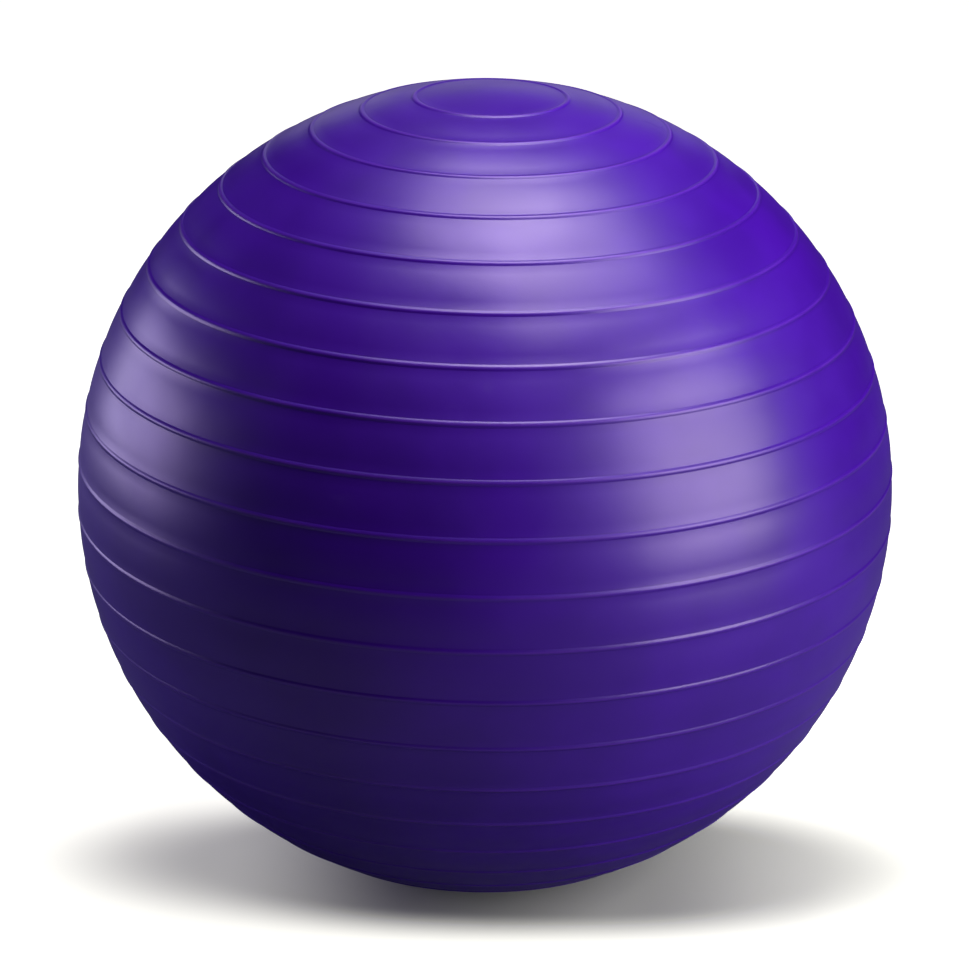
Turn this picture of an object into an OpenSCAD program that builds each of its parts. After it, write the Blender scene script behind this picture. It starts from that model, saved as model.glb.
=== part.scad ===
// Exercise ball: an inflated vinyl skin with grip ribs moulded round it, and a
// push-in air valve made of a flanged seat bonded into the skin and a stopper.
// The ball stands on the floor at z = 0 with its rib axis upright on the Z axis.
// The valve faces +Y and lies in the smooth band between two middle ribs.

/* [Ball] */
// Diameter of the inflated ball over its smooth skin
ball_d = 650; // [450:10:850]
// Thickness of the inflated skin
skin_wall = 0.9; // [0.7:0.1:2]
// Diameter of the flat patch on which the ball stands
foot_d = 56; // [40:2:80]

/* [Grip ribs] */
// Number of ribs from pole to pole
rib_count = 22; // [12:1:26]
// Height of a rib above the skin
rib_h = 0.9; // [0.5:0.1:1.4]
// Width of a rib at its root
rib_w = 5.4; // [3.6:0.2:7]
// Angle from the top pole to the first rib, which bounds the smooth top cap
cap_top = 10.6; // [9:0.2:18]
// Angle from the bottom pole to the last rib
cap_bottom = 13; // [9:0.2:18]

/* [Valve seat] */
// Diameter of the seat's flange
flange_d = 28; // [26:0.5:30]
// Thickness of the seat's flange
flange_t = 3.8; // [3.4:0.1:5]
// Diameter of the seat's tubular neck
neck_d = 16; // [14:0.5:18]
// Length of the neck under the flange
neck_l = 17; // [12:0.5:24]
// Diameter of the lip that holds the seat behind the skin
lip_d = 21; // [20:0.5:25]
// Thickness of that lip
lip_t = 1.4; // [1:0.1:2]
// Bore of the seat
bore_d = 9.5; // [8:0.1:10]
// Depth of the seat's face below the ball's surface at the flange's edge
seat_sink = 0.2; // [0:0.1:0.6]
// Thickness of the skin left between the flange and the lip
pad_web = 1.6; // [1:0.1:3]
// Width of the thickened skin round the flange
pad_rim = 4; // [3:0.5:8]

/* [Valve plug] */
// Diameter of the plug's head
head_d = 18.6; // [17:0.2:19.6]
// Thickness of the plug's head
head_t = 2; // [1.6:0.1:2.4]
// Length of the plug's shank under its head
shank_l = 24; // [18:0.5:28]
// Height of a sealing ring above the shank
ring_h = 0.5; // [0.3:0.05:0.7]
// Number of sealing rings on the shank
ring_count = 3; // [2:1:4]
// Width of a sealing ring
ring_w = 1.6; // [1.2:0.1:2]
// Length of the plug's tapered tip
tip_l = 5; // [3:0.5:6]
// Diameter of the plug's blunt end
tip_d = 5.6; // [5:0.1:6.4]
// Diameter of the moulding core up the middle of the plug
core_d = 3.2; // [2:0.2:3.6]
// Width of the two fingernail notches in the head's rim
notch_w = 4; // [3:0.5:5]

/* [Clearances] */
// Running gap round the plug's sealing rings
ring_gap = 0.05; // [0.02:0.01:0.08]
// Gap round the plug's head
head_gap = 0.5; // [0.3:0.1:0.8]
// Gap under the plug's head
head_seat_gap = 0.1; // [0.05:0.05:0.2]

/* [Hidden] */
$fn = 180;

// Ball: its centre sits lower than its radius by the depth of the flat patch
ball_r = ball_d / 2;
foot_r = foot_d / 2;
centre_z = sqrt(pow(ball_r, 2) - pow(foot_r, 2));
inner_r = ball_r - skin_wall;

// Ribs: an arc through the rib's two roots and its crest
rib_pitch = (180 - cap_top - cap_bottom) / (rib_count - 1);
rib_arc_r = (pow(rib_w / 2, 2) + pow(rib_h, 2)) / (2 * rib_h);
rib_arc_at = ball_r + rib_h - rib_arc_r;

// Valve: its axis runs along +Y through the middle of a band between two ribs
band = floor(rib_count / 2);
valve_lat = cap_bottom - 90 + rib_pitch * (band - 0.5);
valve_off = ball_r * sin(valve_lat);
valve_z = centre_z + valve_off;
flange_r = flange_d / 2;
edge_off = abs(valve_off) + flange_r;
seat_y = sqrt(pow(ball_r, 2) - pow(edge_off, 2)) - seat_sink;
pad_t = flange_t + pad_web;
pad_r = flange_r + pad_rim;
recess_d = head_d + 2 * head_gap;
recess_t = head_t + head_seat_gap;
ring_d = bore_d - 2 * ring_gap;
shank_d = ring_d - 2 * ring_h;
ring_step = (shank_l - tip_l - ring_w) / ring_count;
head_edge = head_t / 4;
bore_mouth = 0.6;
overcut = 1;

// Puts a shape drawn round the Z axis on the valve's axis, outward along +Y
module on_valve() {
    translate([0, seat_y, valve_z])
        rotate([-90, 0, 0])
            children();
}

// Half outline of the ball down to a floor plane, drawn right of the Z axis
module half_disc(r, floor_z) {
    intersection() {
        translate([0, centre_z])
            circle(r = r);
        translate([0, floor_z])
            square([ball_d, 2 * ball_d]);
    }
}

// Half outline of the ribbed skin, solid inside
module ribbed_half() {
    half_disc(ball_r, 0);
    intersection() {
        translate([0, centre_z])
            for (i = [0 : rib_count - 1])
                rotate(cap_bottom - 90 + i * rib_pitch)
                    translate([rib_arc_at, 0])
                        circle(r = rib_arc_r, $fn = 72);
        square([ball_d, 2 * ball_d]);
    }
}

// Skin: one hollow moulding, thickened round the valve to hold the seat
module ball_skin() {
    color([0.33, 0.16, 0.64])
    difference() {
        union() {
            rotate_extrude()
                difference() {
                    ribbed_half();
                    half_disc(inner_r, skin_wall);
                }
            intersection() {
                translate([0, 0, centre_z])
                    sphere(r = ball_r - skin_wall / 2);
                on_valve()
                    translate([0, 0, -pad_t])
                        cylinder(h = pad_t + ball_r - seat_y, r = pad_r);
            }
        }
        on_valve() {
            translate([0, 0, -flange_t])
                cylinder(h = flange_t + ball_r, d = flange_d);
            translate([0, 0, -pad_t - overcut])
                cylinder(h = pad_t + 2 * overcut, d = neck_d);
        }
    }
}

// Seat: flange in the skin, neck into the ball, lip behind the skin, bored through
module valve_seat() {
    color([0.27, 0.12, 0.55])
    on_valve()
    difference() {
        union() {
            translate([0, 0, -flange_t])
                cylinder(h = flange_t, d = flange_d);
            translate([0, 0, -pad_t - lip_t])
                cylinder(h = lip_t, d = lip_d);
            translate([0, 0, -flange_t - neck_l])
                cylinder(h = neck_l, d = neck_d);
        }
        translate([0, 0, -recess_t])
            cylinder(h = recess_t + overcut, d = recess_d);
        translate([0, 0, -flange_t - neck_l - overcut])
            cylinder(h = flange_t + neck_l + 2 * overcut, d = bore_d);
        translate([0, 0, -recess_t - bore_mouth])
            cylinder(h = bore_mouth, d1 = bore_d, d2 = bore_d + 2 * bore_mouth);
    }
}

// Plug: head, shank with sealing rings and tapered tip, turned about the valve axis
module valve_plug() {
    color([0.93, 0.93, 0.9])
    on_valve()
    difference() {
        union() {
            translate([0, 0, -head_edge])
                cylinder(h = head_edge, d1 = head_d, d2 = head_d - 2 * head_edge);
            translate([0, 0, -head_t])
                cylinder(h = head_t - head_edge, d = head_d);
            translate([0, 0, -head_t - shank_l + tip_l])
                cylinder(h = shank_l - tip_l, d = shank_d);
            for (i = [1 : ring_count])
                translate([0, 0, -head_t - i * ring_step])
                    cylinder(h = ring_w, d = ring_d);
            translate([0, 0, -head_t - shank_l])
                cylinder(h = tip_l, d1 = tip_d, d2 = shank_d);
        }
        translate([0, 0, -head_t - shank_l - overcut])
            cylinder(h = shank_l + overcut, d = core_d);
        for (side = [-1, 1])
            translate([side * head_d / 2, 0, -head_t - overcut])
                cylinder(h = head_t + 2 * overcut, d = notch_w);
    }
}

ball_skin();
valve_seat();
valve_plug();
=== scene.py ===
import math

import bmesh
import bpy
from mathutils import Matrix, Vector


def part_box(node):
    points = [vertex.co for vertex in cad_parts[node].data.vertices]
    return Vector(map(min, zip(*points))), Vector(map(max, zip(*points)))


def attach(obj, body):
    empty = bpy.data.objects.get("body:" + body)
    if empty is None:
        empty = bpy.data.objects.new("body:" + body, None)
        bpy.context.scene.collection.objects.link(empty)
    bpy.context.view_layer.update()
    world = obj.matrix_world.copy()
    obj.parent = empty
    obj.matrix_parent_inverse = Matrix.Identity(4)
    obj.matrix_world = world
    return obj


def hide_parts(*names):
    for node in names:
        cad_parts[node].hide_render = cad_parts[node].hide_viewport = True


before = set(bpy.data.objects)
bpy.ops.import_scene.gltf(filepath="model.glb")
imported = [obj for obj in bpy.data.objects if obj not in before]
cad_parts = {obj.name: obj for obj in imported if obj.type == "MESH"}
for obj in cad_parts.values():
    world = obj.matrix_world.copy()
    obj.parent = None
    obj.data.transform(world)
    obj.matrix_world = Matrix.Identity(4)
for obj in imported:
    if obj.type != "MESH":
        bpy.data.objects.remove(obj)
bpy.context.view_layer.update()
scene = bpy.context.scene
scene.view_settings.view_transform = "Standard"


# --- Camera ---
# A long lens on a tripod, looking slightly down at the ball from the side away from its
# valve. The tripod leans by about a degree. All lengths here are in metres.
skin_low, skin_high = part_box("ball_skin")
foot_radius = 0.028
ball_radius = (skin_high.z ** 2 + foot_radius ** 2) / (2 * skin_high.z)
ball_centre = Vector((0, 0, skin_high.z - ball_radius))

camera_distance = 9.9 * ball_radius
camera_height = math.radians(19.6)
camera_lean = math.radians(0.92)
ball_share_of_frame = 0.8386

lens = bpy.data.cameras.new("camera")
lens.sensor_width = 36.0
outline_slope = ball_radius / math.sqrt(camera_distance ** 2 - ball_radius ** 2)
lens.lens = ball_share_of_frame * lens.sensor_width / (2 * outline_slope)
camera = bpy.data.objects.new("camera", lens)
scene.collection.objects.link(camera)
to_camera = Vector((0, -math.cos(camera_height), math.sin(camera_height)))
upright = to_camera.to_track_quat("Z", "Y").to_matrix().to_4x4()
camera.matrix_world = (
    Matrix.Translation(ball_centre + camera_distance * to_camera)
    @ upright
    @ Matrix.Rotation(camera_lean, 4, "Z")
)
scene.camera = camera


# --- Studio lights ---
# Five soft boxes: a big one overhead, a small one near the ball's right shoulder, a tall
# one to the right and in front of it, a cooler one on the left and a weak one behind.
def soft_box(name, turn, rise, distance, width, height, radiance, tint=(1, 1, 1)):
    """A flat light that faces the ball. turn is clockwise from the camera's side, seen
    from above, and rise is above the ball's middle, both in degrees."""
    light = bpy.data.lights.new(name, "AREA")
    light.shape = "RECTANGLE"
    light.size = width
    light.size_y = height
    light.energy = radiance * math.pi * width * height
    light.color = tint
    turn, rise = math.radians(turn), math.radians(rise)
    direction = Vector((
        math.sin(turn) * math.cos(rise),
        -math.cos(turn) * math.cos(rise),
        math.sin(rise),
    ))
    box = bpy.data.objects.new(name, light)
    box.matrix_world = (
        Matrix.Translation(ball_centre + distance * direction)
        @ direction.to_track_quat("Z", "Y").to_matrix().to_4x4()
    )
    scene.collection.objects.link(box)


soft_box("overhead_box", 165, 84, 2.6, 1.4, 1.65, 4.0)
soft_box("high_right_box", 43, 68, 0.8, 0.52, 0.42, 3.0)
soft_box("right_box", 60, 17, 1.7, 1.15, 1.35, 4.3)
soft_box("left_box", -112, 2, 2.6, 1.9, 1.15, 3.75, (0.70, 0.64, 1.0))
soft_box("back_box", 180, 14, 2.6, 1.6, 0.9, 0.5)


def add_node(tree, kind, inputs=None, **settings):
    """Adds a node to a tree. inputs gives its sockets values or other nodes' outputs."""
    node = tree.nodes.new(kind)
    for name, value in settings.items():
        setattr(node, name, value)
    for socket, value in (inputs or {}).items():
        if isinstance(value, bpy.types.NodeSocket):
            tree.links.new(value, node.inputs[socket])
        else:
            node.inputs[socket].default_value = value
    return node


def calculate(tree, operation, *values):
    """A Math node's result."""
    node = add_node(tree, "ShaderNodeMath", dict(enumerate(values)), operation=operation)
    return node.outputs[0]


# The room gives hardly any light, but it is seen as the same white as the floor.
room_light = 0.003
room = bpy.data.worlds.new("room")
room.use_nodes = True
backdrop = room.node_tree.nodes["Background"]
backdrop.inputs["Color"].default_value = (1, 1, 1, 1)
seen = add_node(room.node_tree, "ShaderNodeLightPath").outputs["Is Camera Ray"]
strength = calculate(room.node_tree, "MAXIMUM", seen, room_light)
room.node_tree.links.new(strength, backdrop.inputs["Strength"])
scene.world = room


# --- Studio floor ---
# A pale sweep that the ball stands on. It burns out to white away from the ball, where it glows for
# the camera. That glow is painted light, and it also paints the shape of the shadow under the ball.
# To other rays it is dark and violet, which is painted shade and bounce, so it throws little light
# back up.
def new_material(name):
    """A material with nodes, and its tree."""
    material = bpy.data.materials.new(name)
    material.use_nodes = True
    return material, material.node_tree


floor_radius = 9.0
floor_mesh = bpy.data.meshes.new("floor")
bm = bmesh.new()
bmesh.ops.create_circle(bm, cap_ends=True, segments=96, radius=floor_radius)
bm.to_mesh(floor_mesh)
bm.free()
floor = bpy.data.objects.new("floor", floor_mesh)
scene.collection.objects.link(floor)

# The shade under the ball is a painted shadow: an ellipse where the floor does not glow. Painted
# light leaks into it from both sides, and its edge fades out from shade_core to 1, both as shares
# of the ellipse.
shade_centre = Vector((0.09 * ball_radius, -0.07 * ball_radius, 0))
shade_across = 1.36 * ball_radius
shade_along = 0.5 * ball_radius
shade_core = 0.56
side_light = 0.32
side_light_from = 0.2
side_light_full = 0.6
darkest_at = 0.03
paper_colour = (0.82, 0.82, 0.74, 1)
glow_colour = (1, 0.99, 0.92, 1)
painted_bounce_colour = (0.20, 0.19, 0.27, 1)

paper, tree = new_material("studio_paper_painted_shadow")
tree.nodes.clear()
where = add_node(tree, "ShaderNodeTexCoord")
off_centre = add_node(tree, "ShaderNodeVectorMath", {
    0: where.outputs["Object"],
    1: shade_centre,
}, operation="SUBTRACT")
in_shade = add_node(tree, "ShaderNodeVectorMath", {
    0: off_centre.outputs[0],
    1: (1 / shade_across, 1 / shade_along, 1),
}, operation="MULTIPLY")
to_edge = add_node(tree, "ShaderNodeVectorMath", {0: in_shade.outputs[0]}, operation="LENGTH")
split = add_node(tree, "ShaderNodeSeparateXYZ", {0: in_shade.outputs[0]})
aside = calculate(tree, "ABSOLUTE", calculate(tree, "SUBTRACT", split.outputs["X"], darkest_at))
# Painted light that leaks into the painted shadow from both sides, strongest away from darkest_at.
painted_side_glow = add_node(tree, "ShaderNodeMapRange", {
    "Value": aside,
    "From Min": side_light_from,
    "From Max": side_light_full,
    "To Max": side_light,
}, interpolation_type="SMOOTHSTEP")
painted_glow_strength = add_node(tree, "ShaderNodeMapRange", {
    "Value": to_edge.outputs["Value"],
    "From Min": shade_core,
    "From Max": 1.0,
    "To Min": painted_side_glow.outputs["Result"],
}, interpolation_type="SMOOTHSTEP")
white = add_node(tree, "ShaderNodeBsdfDiffuse", {"Color": paper_colour})
# Painted light: the floor glows for the camera, white away from the ball and least in the painted
# shadow under it.
glow = add_node(tree, "ShaderNodeEmission", {
    "Color": glow_colour,
    "Strength": painted_glow_strength.outputs["Result"],
})
seen = add_node(tree, "ShaderNodeAddShader", {0: white.outputs[0], 1: glow.outputs[0]})
# Painted shade and bounce: to all rays but the camera's the floor is dark, so that the ball's
# underside stays in shade. Its violet tint stands in for light that the ball throws onto it.
bounced = add_node(tree, "ShaderNodeBsdfDiffuse", {"Color": painted_bounce_colour})
ray = add_node(tree, "ShaderNodeLightPath")
mixed = add_node(tree, "ShaderNodeMixShader", {
    "Fac": ray.outputs["Is Camera Ray"],
    1: bounced.outputs[0],
    2: seen.outputs[0],
})
add_node(tree, "ShaderNodeOutputMaterial", {"Surface": mixed.outputs[0]})
floor_mesh.materials.append(paper)


# --- Ball skin ---
# One seamless hollow moulding of soft violet PVC, made by rotational moulding in a
# mould that has the grip ribs cut into it, then blown up tight. Round the valve the
# skin is thicker, with a counterbore that the valve's seat is bonded into.
skin_wall = 0.0009
rib_count = 22
rib_height = 0.0009
rib_width = 0.0054
rib_foot_radius = 0.0012
band_swell = 0.0004
top_cap = math.radians(10.6)
bottom_cap = math.radians(13)
rib_pitch = (math.pi - top_cap - bottom_cap) / (rib_count - 1)
skin_columns = 216
quarter_turn = math.pi / 2

seat_low, seat_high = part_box("valve_seat")
valve_axis = Vector((0, seat_high.y, (seat_low.z + seat_high.z) / 2))
flange_radius = (seat_high.z - seat_low.z) / 2
flange_depth = 0.0038
neck_radius = 0.008
pad_rim = 0.004
pad_radius = flange_radius + pad_rim
pad_web = 0.0016
pad_depth = flange_depth + pad_web
pad_face_depth = 0.00015
pad_shoulder = 0.0005
pad_shoulder_depth = 0.0015
mouth_flare = 0.0008
mouth_depth = 0.0007
overcut = 0.001
clear_outside = 0.01


def on_meridian(radius, latitude):
    """A point in the XZ plane, at that distance from the ball's centre."""
    across = Vector((math.cos(latitude), 0, math.sin(latitude)))
    return ball_centre + radius * across


def draw_arc(bm, start, centre, angle, steps):
    """Draws an arc of edges from a vertex in the XZ plane, and returns its last vertex.
    A positive angle climbs when the arc bulges outwards."""
    swept = bmesh.ops.spin(
        bm, geom=[start], cent=centre, axis=(0, -1, 0), angle=angle, steps=steps,
        use_duplicate=False,
    )
    return [part for part in swept["geom_last"] if isinstance(part, bmesh.types.BMVert)][0]


def draw_corners(bm, corners, closed=False):
    """Draws straight edges between corners. A corner is a radius from the valve's axis,
    a depth under the seat's face and the rounding it gets."""
    drawn = []
    for radius, depth, rounding in corners:
        vertex = bm.verts.new(valve_axis + Vector((0, -depth, radius)))
        if drawn:
            bm.edges.new((drawn[-1][0], vertex))
        drawn.append((vertex, rounding))
    if closed:
        bm.edges.new((drawn[-1][0], drawn[0][0]))
    for vertex, rounding in drawn:
        if rounding:
            bmesh.ops.bevel(
                bm, geom=[vertex], offset=rounding, offset_type="OFFSET", segments=5,
                profile=0.5, affect="VERTICES", material=-1,
            )


def lathe(bm, cent, axis, columns):
    """Turns the outline in the mesh through a full circle and closes its poles."""
    outline = bm.verts[:] + bm.edges[:]
    bmesh.ops.spin(
        bm, geom=outline, cent=cent, axis=axis, angle=2 * math.pi, steps=columns,
        use_merge=True, use_duplicate=False,
    )
    bmesh.ops.remove_doubles(bm, verts=bm.verts, dist=1e-7)
    bmesh.ops.recalc_face_normals(bm, faces=bm.faces)


def new_piece(name, bm):
    """Makes an object of a mesh, in the frame's own place."""
    mesh = bpy.data.meshes.new(name)
    bm.to_mesh(mesh)
    bm.free()
    piece = bpy.data.objects.new(name, mesh)
    scene.collection.objects.link(piece)
    return piece


def turned(name, corners, closed=False, columns=96):
    """A piece turned about the valve's axis."""
    bm = bmesh.new()
    draw_corners(bm, corners, closed)
    lathe(bm, valve_axis, (0, 1, 0), columns)
    return new_piece(name, bm)


def combine(piece, tool, operation, sliver=5e-6):
    """Joins a tool to a piece or cuts it out, and removes the tool and the slivers."""
    modifier = piece.modifiers.new(operation, "BOOLEAN")
    modifier.operation = operation
    modifier.solver = "MANIFOLD"
    modifier.object = tool
    evaluated = piece.evaluated_get(bpy.context.evaluated_depsgraph_get())
    old_mesh = piece.data
    piece.data = bpy.data.meshes.new_from_object(evaluated)
    piece.data.name = piece.name
    piece.modifiers.clear()
    bpy.data.meshes.remove(old_mesh)
    bpy.data.meshes.remove(tool.data)
    bm = bmesh.new()
    bm.from_mesh(piece.data)
    bmesh.ops.remove_doubles(bm, verts=bm.verts, dist=sliver)
    bmesh.ops.dissolve_degenerate(bm, edges=bm.edges, dist=sliver)
    bm.to_mesh(piece.data)
    bm.free()


def shade_smooth(piece, crease=30):
    """Shades a piece smooth, apart from edges that turn by more than crease degrees."""
    piece.data.shade_smooth()
    piece.data.set_sharp_from_angle(angle=math.radians(crease))


# A rib is a round crest between two hollow feet, all drawn as arcs that meet smoothly.
rib_half_angle = rib_width / (2 * ball_radius)
foot_at = ball_radius + rib_foot_radius
foot_aside = foot_at * math.sin(rib_half_angle)
foot_above = foot_at * math.cos(rib_half_angle) - ball_radius - rib_height
crest_radius = (
    (foot_aside ** 2 + foot_above ** 2 - rib_foot_radius ** 2)
    / (2 * (rib_foot_radius - foot_above))
)
crest_at = ball_radius + rib_height - crest_radius
crest_turn = math.atan2(foot_aside, foot_above + crest_radius)
foot_turn = crest_turn - rib_half_angle

# Between two ribs the skin swells a little, because the ribs stretch less.
band_half_angle = rib_pitch / 2 - rib_half_angle
band_half_width = ball_radius * math.sin(band_half_angle)
band_rise = ball_radius * (1 - math.cos(band_half_angle)) + band_swell
band_radius = (band_half_width ** 2 + band_rise ** 2) / (2 * band_rise)
band_turn = 2 * math.asin(band_half_width / band_radius)

# The inner wall is drawn first and turned inside out, so that it faces the air.
inner_radius = ball_radius - skin_wall
inner_foot = math.sqrt(inner_radius ** 2 - (ball_centre.z - skin_wall) ** 2)
bm = bmesh.new()
inner_middle = bm.verts.new((0, 0, skin_wall))
inner_edge = bm.verts.new((inner_foot, 0, skin_wall))
bm.edges.new((inner_middle, inner_edge))
inner_climb = quarter_turn + math.acos(inner_foot / inner_radius)
tip = draw_arc(bm, inner_edge, ball_centre, inner_climb, 60)
tip.co.x = 0
lathe(bm, (0, 0, 0), (0, 0, 1), skin_columns // 2)
bmesh.ops.reverse_faces(bm, faces=bm.faces)
inner_wall = bpy.data.meshes.new("inner_wall")
bm.to_mesh(inner_wall)
bm.free()

bm = bmesh.new()
foot_middle = bm.verts.new((0, 0, 0))
foot_edge = bm.verts.new((foot_radius, 0, 0))
bm.edges.new((foot_middle, foot_edge))
latitude = -math.acos(foot_radius / ball_radius)
tip = foot_edge
for rib in range(rib_count):
    rib_latitude = bottom_cap - quarter_turn + rib * rib_pitch
    span = rib_latitude - rib_half_angle - latitude
    if rib:
        band_centre = on_meridian(ball_radius + band_swell - band_radius, latitude + span / 2)
        tip = draw_arc(bm, tip, band_centre, band_turn, 5)
    else:
        tip = draw_arc(bm, tip, ball_centre, span, 4)
    tip = draw_arc(bm, tip, on_meridian(foot_at, rib_latitude - rib_half_angle), -foot_turn, 2)
    tip = draw_arc(bm, tip, on_meridian(crest_at, rib_latitude), 2 * crest_turn, 5)
    tip = draw_arc(bm, tip, on_meridian(foot_at, rib_latitude + rib_half_angle), -foot_turn, 2)
    latitude = rib_latitude + rib_half_angle
tip = draw_arc(bm, tip, ball_centre, quarter_turn - latitude, 8)
tip.co.x = 0
lathe(bm, (0, 0, 0), (0, 0, 1), skin_columns)
bm.from_mesh(inner_wall)
skin = new_piece("ball_skin_shell", bm)

pad = turned("pad", [
    (0, pad_face_depth, 0),
    (pad_radius - pad_shoulder, pad_face_depth, 0),
    (pad_radius, pad_shoulder_depth, 0),
    (pad_radius, pad_depth, 0.001),
    (0, pad_depth, 0),
])
combine(skin, pad, "UNION")
counterbore = turned("counterbore", [
    (0, -clear_outside, 0),
    (flange_radius + mouth_flare, -clear_outside, 0),
    (flange_radius + mouth_flare, -mouth_depth, 0),
    (flange_radius, 0.0001, 0.0004),
    (flange_radius, flange_depth, 0),
    (neck_radius, flange_depth, 0),
    (neck_radius, pad_depth + overcut, 0),
    (0, pad_depth + overcut, 0),
])
combine(skin, counterbore, "DIFFERENCE")
shade_smooth(skin)
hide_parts("ball_skin")
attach(skin, "ball")


def new_group(name, inputs, outputs):
    """A node group with these sockets, such as Size="Float", and its input sockets."""
    group = bpy.data.node_groups.new(name, "ShaderNodeTree")
    for in_out, sockets in (("INPUT", inputs), ("OUTPUT", outputs)):
        for socket, kind in sockets.items():
            group.interface.new_socket(socket, in_out=in_out, socket_type="NodeSocket" + kind)
    return group, add_node(group, "NodeGroupInput").outputs


def use_group(tree, group, **inputs):
    """Places a node group in a tree and returns its outputs."""
    return add_node(tree, "ShaderNodeGroup", inputs, node_tree=group).outputs


def fade(tree, value, start, end, low=0.0, high=1.0):
    """Turns a value between start and end into a smooth change from low to high."""
    return add_node(tree, "ShaderNodeMapRange", {
        "Value": value, "From Min": start, "From Max": end, "To Min": low, "To Max": high,
    }, interpolation_type="SMOOTHSTEP").outputs["Result"]


def blend_colours(tree, share, under, over):
    """Mixes a second colour over the first by its share."""
    node = add_node(tree, "ShaderNodeMix", {0: share, 6: under, 7: over}, data_type="RGBA")
    return node.outputs[2]


def noise(tree, where, scale, detail=2.0):
    """Cloudy noise about one half, with so many clouds to the metre."""
    inputs = {"Vector": where, "Scale": scale, "Detail": detail}
    return add_node(tree, "ShaderNodeTexNoise", inputs).outputs[0]


def wire_surface(tree, colour, gloss, height):
    """Feeds a colour, a roughness and a height in metres to the material's shader."""
    bump = add_node(tree, "ShaderNodeBump", {"Height": height, "Distance": 1.0})
    shader = tree.nodes["Principled BSDF"]
    tree.links.new(colour, shader.inputs["Base Color"])
    tree.links.new(gloss, shader.inputs["Roughness"])
    tree.links.new(bump.outputs[0], shader.inputs["Normal"])
    return shader


# The grain that a mould leaves: fine rounded pits over slow waves, as a height in metres.
grain, given = new_group("moulded_grain", {
    "Where": "Vector", "Pits": "Float", "Pit Depth": "Float",
    "Waves": "Float", "Wave Depth": "Float",
}, {"Height": "Float"})
pits = add_node(grain, "ShaderNodeTexVoronoi", {
    "Vector": given["Where"], "Scale": given["Pits"], "Smoothness": 0.6,
}, feature="SMOOTH_F1").outputs["Distance"]
fine = noise(grain, given["Where"], given["Pits"], 3.0)
pitted = calculate(grain, "MULTIPLY", calculate(grain, "ADD", pits, fine), given["Pit Depth"])
waved = noise(grain, given["Where"], given["Waves"])
height = calculate(grain, "MULTIPLY_ADD", waved, given["Wave Depth"], pitted)
add_node(grain, "NodeGroupOutput", {"Height": height})

# What hands do to it: broad smudges that dull the gloss, and hair scratches in places.
handling, given = new_group("handling_marks", {
    "Where": "Vector", "Smudges": "Float", "Scratches": "Float",
}, {"Smudge": "Float", "Scratch": "Float"})
smudge = fade(handling, noise(handling, given["Where"], given["Smudges"], 4.0), 0.38, 0.66)
swirl = noise(handling, given["Where"], given["Scratches"], 1.0)
off_line = calculate(handling, "ABSOLUTE", calculate(handling, "SUBTRACT", swirl, 0.5))
hair = fade(handling, off_line, 0.0, 0.004, 1.0, 0.0)
scratch = calculate(handling, "MULTIPLY", hair, smudge)
add_node(handling, "NodeGroupOutput", {"Smudge": smudge, "Scratch": scratch})

violet = (0.063, 0.0024, 0.395, 1)
mottled_and_shaded_violet = (0.050, 0.0016, 0.325, 1)
pale_violet = (0.115, 0.018, 0.47, 1)
scuffed_violet = (0.16, 0.09, 0.40, 1)
rib_root_shade_width = 0.0013

vinyl, tree = new_material("violet_vinyl")
where = add_node(tree, "ShaderNodeTexCoord").outputs["Object"]
mottle = fade(tree, noise(tree, where, 11.0, 5.0), 0.35, 0.68)
marks = use_group(tree, handling, **{"Where": where, "Smudges": 9.0, "Scratches": 24.0})

# How far a point is from the ball's centre and from the middle of the nearest rib.
offset = add_node(tree, "ShaderNodeVectorMath", {0: where, 1: ball_centre}, operation="SUBTRACT")
split = add_node(tree, "ShaderNodeSeparateXYZ", {0: offset.outputs[0]})
length = add_node(tree, "ShaderNodeVectorMath", {0: offset.outputs[0]}, operation="LENGTH")
outward = length.outputs["Value"]
latitude_angle = calculate(tree, "ARCSINE", calculate(tree, "DIVIDE", split.outputs["Z"], outward))
climb = calculate(tree, "SUBTRACT", latitude_angle, bottom_cap - quarter_turn)
ribs_up = calculate(tree, "DIVIDE", climb, rib_pitch)
kept = add_node(tree, "ShaderNodeClamp", {"Value": ribs_up, "Min": -0.49, "Max": rib_count - 0.51})
from_rib = calculate(
    tree, "MULTIPLY", calculate(tree, "PINGPONG", kept.outputs[0], 0.5), rib_pitch * ball_radius,
)
# Painted shade: the skin darkens along both feet of each rib, where shade falls in the creases.
from_root = calculate(tree, "ABSOLUTE", calculate(tree, "SUBTRACT", from_rib, rib_width / 2))
root = fade(tree, from_root, 0.0, rib_root_shade_width, 0.55, 0.0)
crest = fade(tree, outward, ball_radius + 0.65 * rib_height, ball_radius + rib_height)
rubbed = calculate(tree, "MULTIPLY", crest, fade(tree, marks["Smudge"], 0.0, 1.0, 0.3, 0.7))

# The skin is scuffed by the floor round the patch that it stands on.
height_up = add_node(tree, "ShaderNodeSeparateXYZ", {0: where}).outputs["Z"]
near_floor = fade(tree, height_up, 0.0, 0.012, 0.6, 0.0)
patches = fade(tree, noise(tree, where, 160.0, 6.0), 0.45, 0.7)
scuffed = calculate(tree, "MULTIPLY", near_floor, patches)

colour = blend_colours(tree, mottle, violet, mottled_and_shaded_violet)
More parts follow.
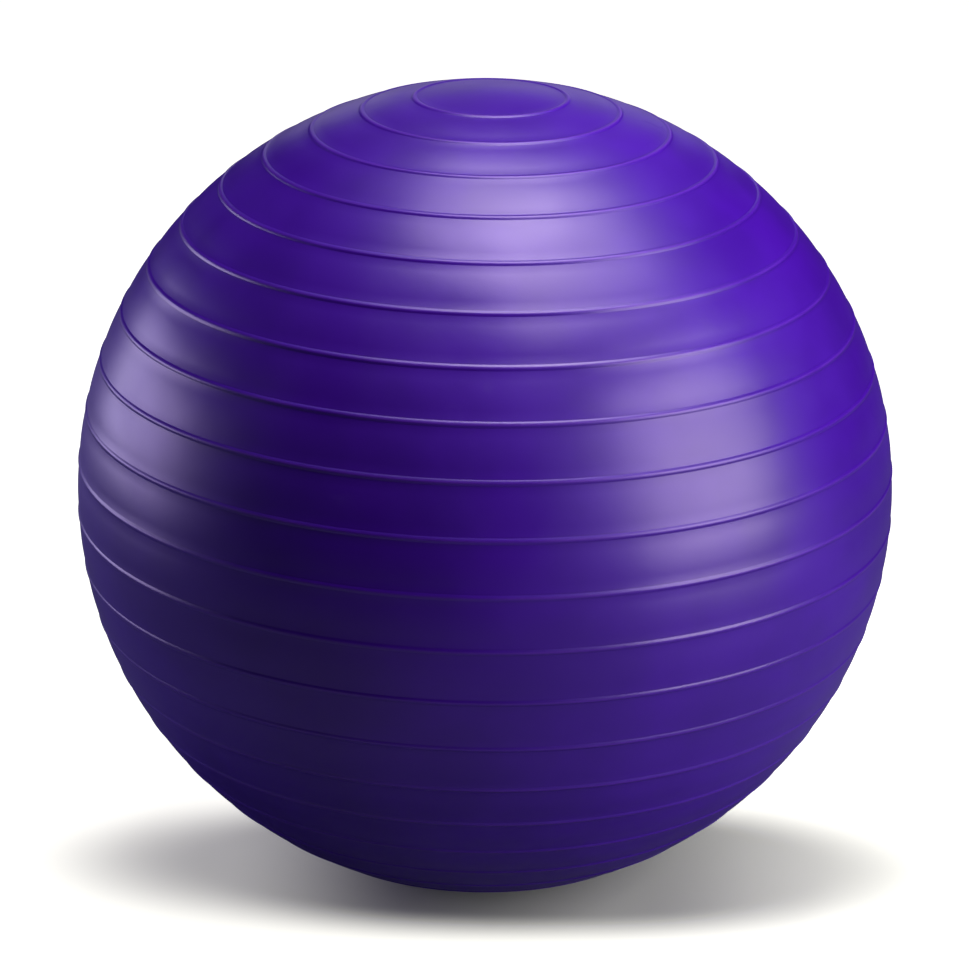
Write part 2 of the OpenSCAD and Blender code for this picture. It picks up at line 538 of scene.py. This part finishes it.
# Painted shade in the rib feet, blended towards the deeper violet.
colour = blend_colours(tree, root, colour, mottled_and_shaded_violet)
colour = blend_colours(tree, rubbed, colour, pale_violet)
colour = blend_colours(tree, scuffed, colour, scuffed_violet)
gloss = fade(tree, marks["Smudge"], 0.0, 1.0, 0.345, 0.39)
gloss = calculate(tree, "MULTIPLY_ADD", marks["Scratch"], 0.06, gloss)
gloss = calculate(tree, "MULTIPLY_ADD", scuffed, 0.2, gloss)
relief = use_group(tree, grain, **{
    "Where": where, "Pits": 850.0, "Pit Depth": 0.000012, "Waves": 70.0, "Wave Depth": 0.00006,
})
vinyl_shader = wire_surface(tree, colour, gloss, relief["Height"])
vinyl_shader.inputs["IOR"].default_value = 1.54
vinyl_shader.inputs["Specular IOR Level"].default_value = 0.9
vinyl_shader.inputs["Specular Tint"].default_value = (0.94, 0.77, 1.0, 1)
skin.data.materials.clear()
skin.data.materials.append(vinyl)


# --- Valve seat ---
# A flanged tube of flexible PVC, injection moulded and bonded into the skin's
# counterbore. A lip behind the skin holds it, and its bore grips the plug.
head_recess_radius = 0.0098
head_recess_depth = 0.0021
bore_radius = 0.00475
bore_mouth = 0.0006
lip_radius = 0.0105
lip_thickness = 0.0014
lip_depth = pad_depth + lip_thickness
neck_depth = seat_high.y - seat_low.y

seat = turned("valve_seat_moulding", [
    (head_recess_radius, 0, 0.0004),
    (flange_radius, 0, 0.0005),
    (flange_radius, flange_depth, 0.0003),
    (neck_radius, flange_depth, 0),
    (neck_radius, pad_depth, 0),
    (lip_radius, pad_depth, 0.0004),
    (lip_radius, lip_depth, 0.0005),
    (neck_radius, lip_depth, 0.0003),
    (neck_radius, neck_depth, 0.0008),
    (bore_radius, neck_depth, 0.0005),
    (bore_radius, head_recess_depth + bore_mouth, 0.0002),
    (bore_radius + bore_mouth, head_recess_depth, 0.0002),
    (head_recess_radius, head_recess_depth, 0.0003),
], closed=True)
shade_smooth(seat)
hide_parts("valve_seat")
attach(seat, "ball")


def from_valve_axis(tree, where):
    """How far a point is from the valve's axis."""
    offset = add_node(tree, "ShaderNodeVectorMath", {0: where, 1: valve_axis}, operation="SUBTRACT")
    across = add_node(tree, "ShaderNodeVectorMath", {
        0: offset.outputs[0], 1: (1, 0, 1),
    }, operation="MULTIPLY")
    length = add_node(tree, "ShaderNodeVectorMath", {0: across.outputs[0]}, operation="LENGTH")
    return length.outputs["Value"]


seat_violet = (0.045, 0.0018, 0.27, 1)
worn_seat_violet = (0.085, 0.012, 0.38, 1)
glue = (0.022, 0.002, 0.10, 1)

seat_vinyl, tree = new_material("seat_vinyl")
where = add_node(tree, "ShaderNodeTexCoord").outputs["Object"]
marks = use_group(tree, handling, **{"Where": where, "Smudges": 130.0, "Scratches": 240.0})
radial = from_valve_axis(tree, where)

# A dark line of glue shows where the flange meets the skin, and the plug rubs the bore.
bonded = fade(tree, radial, flange_radius - 0.0007, flange_radius - 0.0002)
uneven = fade(tree, noise(tree, where, 900.0, 3.0), 0.3, 0.6, 0.35, 0.9)
bonded = calculate(tree, "MULTIPLY", bonded, uneven)
worn = fade(tree, radial, bore_radius + bore_mouth, bore_radius, 0.0, 0.7)
colour = blend_colours(tree, worn, seat_violet, worn_seat_violet)
colour = blend_colours(tree, bonded, colour, glue)
gloss = fade(tree, marks["Smudge"], 0.0, 1.0, 0.27, 0.36)
gloss = calculate(tree, "MULTIPLY_ADD", bonded, 0.25, gloss)
relief = use_group(tree, grain, **{
    "Where": where, "Pits": 1800.0, "Pit Depth": 0.000004, "Waves": 300.0, "Wave Depth": 0.00001,
})
seat_shader = wire_surface(tree, colour, gloss, relief["Height"])
seat_shader.inputs["IOR"].default_value = 1.54
seat.data.materials.append(seat_vinyl)


# --- Valve plug ---
# An off-white polyethylene stopper, injection moulded in one shot. Its rings seal the
# bore, and two notches in its head's rim let a fingernail or a puller lift it.
plug_low, plug_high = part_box("valve_plug")
head_radius = (plug_high.z - plug_low.z) / 2
head_thickness = 0.002
dish_depth = 0.00025
dish_radius = 0.0064
dish_edge_radius = 0.0070
shank_radius = 0.0042
ring_radius = 0.0047
ring_width = 0.0016
ring_count = 3
plug_length = plug_high.y - plug_low.y
tip_length = 0.005
tip_radius = 0.0028
taper_depth = plug_length - tip_length
ring_step = (taper_depth - head_thickness - ring_width) / ring_count
core_radius = 0.0016
notch_radius = 0.002

outline = [
    (0, dish_depth, 0),
    (dish_radius, dish_depth, 0.0003),
    (dish_edge_radius, 0, 0.0003),
    (head_radius, 0, 0.0006),
    (head_radius, head_thickness, 0.0004),
    (shank_radius, head_thickness, 0.0004),
]
for ring in range(1, ring_count + 1):
    ring_end = head_thickness + ring * ring_step
    outline += [
        (shank_radius, ring_end - ring_width, 0.0002),
        (ring_radius, ring_end - ring_width, 0.0004),
        (ring_radius, ring_end, 0.0004),
        (shank_radius, ring_end, 0.0002),
    ]
outline += [
    (shank_radius, taper_depth, 0.0006),
    (tip_radius, plug_length, 0.0005),
    (core_radius, plug_length, 0.0003),
    (core_radius, head_thickness, 0.0004),
    (0, head_thickness, 0),
]
plug = turned("valve_plug_stopper", outline)
for side in (-1, 1):
    bm = bmesh.new()
    place = Matrix.Translation(valve_axis + Vector((side * head_radius, 0, 0)))
    bmesh.ops.create_cone(
        bm, cap_ends=True, segments=48, radius1=notch_radius, radius2=notch_radius,
        depth=4 * head_thickness, matrix=place @ Matrix.Rotation(quarter_turn, 4, "X"),
    )
    combine(plug, new_piece("notch", bm), "DIFFERENCE")
shade_smooth(plug)
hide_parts("valve_plug")
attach(plug, "plug")

off_white = (0.80, 0.78, 0.71, 1)
aged_white = (0.72, 0.68, 0.57, 1)
grime = (0.30, 0.27, 0.26, 1)

polyethylene, tree = new_material("polyethylene")
where = add_node(tree, "ShaderNodeTexCoord").outputs["Object"]
marks = use_group(tree, handling, **{"Where": where, "Smudges": 150.0, "Scratches": 420.0})
aged = fade(tree, noise(tree, where, 180.0, 4.0), 0.3, 0.7)
radial = from_valve_axis(tree, where)

# Fingernails and floor dirt mark the head's rim and its notches.
rim = fade(tree, radial, head_radius - 0.0012, head_radius, 0.1, 0.75)
dirt = calculate(tree, "MULTIPLY", rim, fade(tree, noise(tree, where, 650.0, 5.0), 0.42, 0.7))
colour = blend_colours(tree, aged, off_white, aged_white)
colour = blend_colours(tree, calculate(tree, "MULTIPLY", marks["Scratch"], 0.25), colour, grime)
colour = blend_colours(tree, dirt, colour, grime)
gloss = fade(tree, marks["Smudge"], 0.0, 1.0, 0.38, 0.52)
gloss = calculate(tree, "MULTIPLY_ADD", dirt, 0.2, gloss)
relief = use_group(tree, grain, **{
    "Where": where, "Pits": 2400.0, "Pit Depth": 0.000003, "Waves": 260.0, "Wave Depth": 0.00001,
})
plug_shader = wire_surface(tree, colour, gloss, relief["Height"])
plug_shader.inputs["IOR"].default_value = 1.51
plug.data.materials.append(polyethylene)
